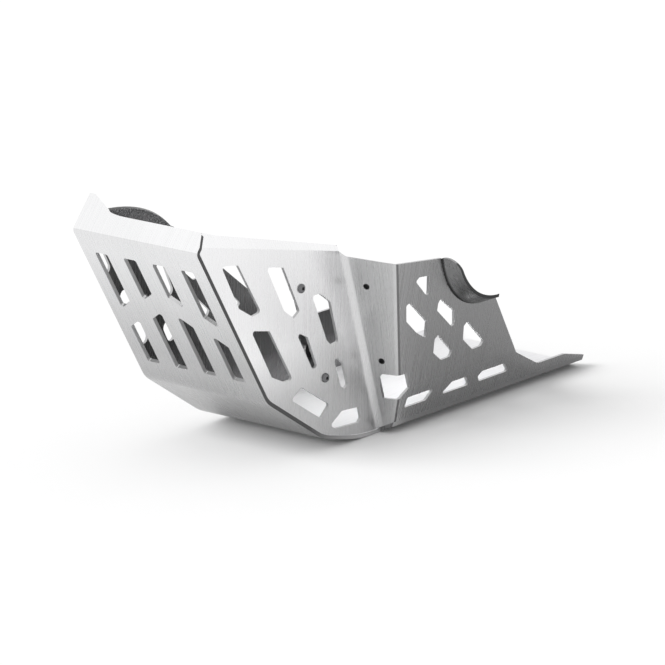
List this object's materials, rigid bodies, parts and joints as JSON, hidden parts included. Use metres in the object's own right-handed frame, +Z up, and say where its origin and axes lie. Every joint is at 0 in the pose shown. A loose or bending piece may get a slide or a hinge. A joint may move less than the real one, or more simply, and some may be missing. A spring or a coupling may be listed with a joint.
{
  "type": "motorcycle skid plate",
  "caption": "Folded sheet-aluminium skid plate for a motorcycle, with a slotted front, vented side wings, a flared notch collar and an inner mounting strap with a rubber grommet.",
  "frame": {"origin": "on the underside of the flat bottom, in the middle plane of the main plate and halfway along the whole part", "axes": "+X from the front to the tail, +Y to the right-hand side of the motorcycle, +Z up"},
  "size_m": [0.5966, 0.2398, 0.2695],
  "materials": {
    "main_sheet": "brushed",
    "side_sheet": "brushed",
    "collar_sheet": "brushed",
    "strap_sheet": "satin",
    "hardware": "satin",
    "rubber": "matte"
  },
  "bodies": {
    "root": {"main_plate": "main_sheet", "left_side_plate": "side_sheet", "right_side_plate": "side_sheet", "left_notch_collar": "collar_sheet", "left_mount_strap": "strap_sheet", "strap_screws": "hardware", "strap_washers": "hardware", "strap_nuts": "hardware", "shoulder_inserts": "hardware", "strap_grommet": "rubber", "strap_ring": "hardware", "strap_sleeve": "hardware"}
  },
  "joints": []
}
